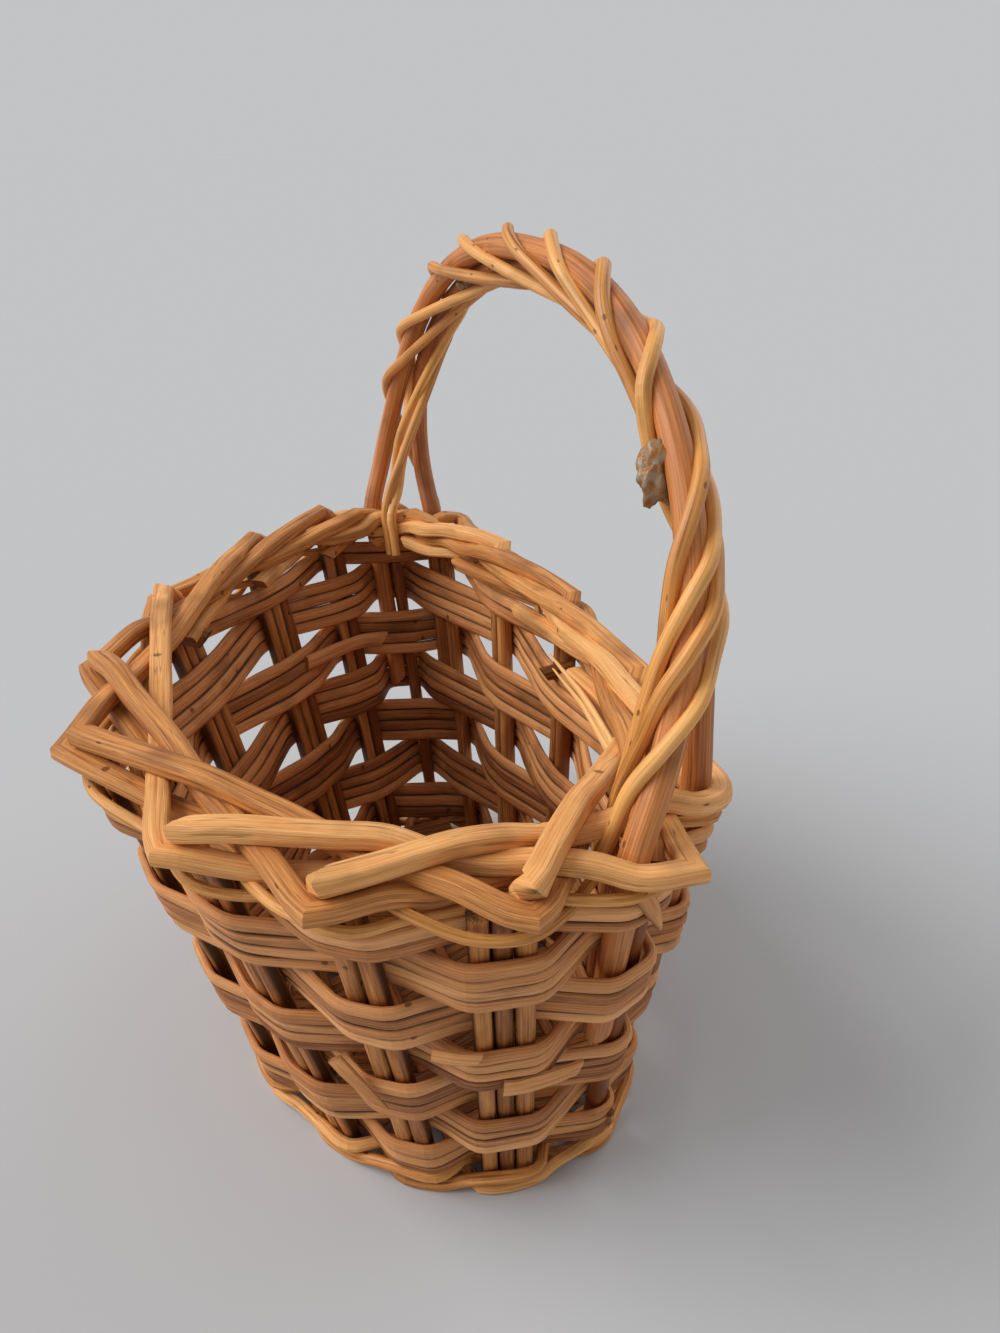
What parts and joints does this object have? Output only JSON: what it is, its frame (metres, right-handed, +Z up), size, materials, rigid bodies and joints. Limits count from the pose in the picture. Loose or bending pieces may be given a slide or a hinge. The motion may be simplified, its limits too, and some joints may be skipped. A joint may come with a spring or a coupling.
{
  "type": "wall pocket basket",
  "caption": "Small woven willow wall basket with a flat back, a rounded tapering front, a plaited border and a tall arched handle wound with thin rods.",
  "frame": {"origin": "on the floor under the middle of the whole basket's box", "axes": "+Z up, the flat back that goes against a wall faces +Y, the rounded front faces -Y, width along X"},
  "size_m": [0.2782, 0.1734, 0.2666],
  "materials": {
    "stake_willow": "peeled willow rod, dull with a slight sheen",
    "side_rod": "peeled willow rod, dull",
    "split_cane": "split cane, smooth ribbed outer face, dull",
    "twine": "thin peeled willow, slight sheen",
    "foot_willow": "thin peeled willow, slight sheen",
    "base_cane": "split cane and willow, dull",
    "core_willow": "smooth willow rod, satin",
    "wrap_willow": "thin smooth willow, satin"
  },
  "bodies": {
    "root": {"weaver_row_1": "split_cane", "weaver_row_2": "split_cane", "weaver_row_3": "split_cane", "weaver_row_4": "split_cane", "weaver_row_5": "split_cane", "weaver_row_6": "split_cane", "weaver_row_7": "split_cane", "side_rods_02": "side_rod", "side_rods_03": "side_rod", "side_rods_04": "side_rod", "side_rods_05": "side_rod", "side_rods_06": "side_rod", "side_rods_07": "side_rod", "side_rods_08": "side_rod", "side_rods_09": "side_rod", "side_rods_12": "side_rod", "side_rods_13": "side_rod", "side_rods_14": "side_rod", "rim_twine_a": "twine", "rim_twine_b": "twine", "base_stick_1": "base_cane", "base_stick_2": "base_cane", "base_stick_3": "base_cane", "base_stick_4": "base_cane", "base_band_01": "base_cane", "base_band_02": "base_cane", "base_band_03": "base_cane", "base_band_04": "base_cane", "base_band_05": "base_cane", "base_band_06": "base_cane", "base_band_07": "base_cane", "base_band_08": "base_cane", "base_band_09": "base_cane", "base_band_10": "base_cane", "base_band_11": "base_cane", "foot_strand_a": "foot_willow", "foot_strand_b": "foot_willow", "foot_strand_c": "foot_willow", "stake_01": "stake_willow", "stake_02": "stake_willow", "stake_03": "stake_willow", "stake_04": "stake_willow", "stake_05": "stake_willow", "stake_06": "stake_willow", "stake_07": "stake_willow", "stake_08": "stake_willow", "stake_09": "stake_willow", "stake_10": "stake_willow", "stake_11": "stake_willow", "stake_12": "stake_willow", "stake_13": "stake_willow", "stake_14": "stake_willow", "stake_15": "stake_willow", "handle_core_front": "core_willow", "handle_core_wall": "core_willow", "handle_wrap_1": "wrap_willow", "handle_wrap_2": "wrap_willow", "handle_wrap_3": "wrap_willow", "handle_wrap_4": "wrap_willow"}
  },
  "joints": []
}
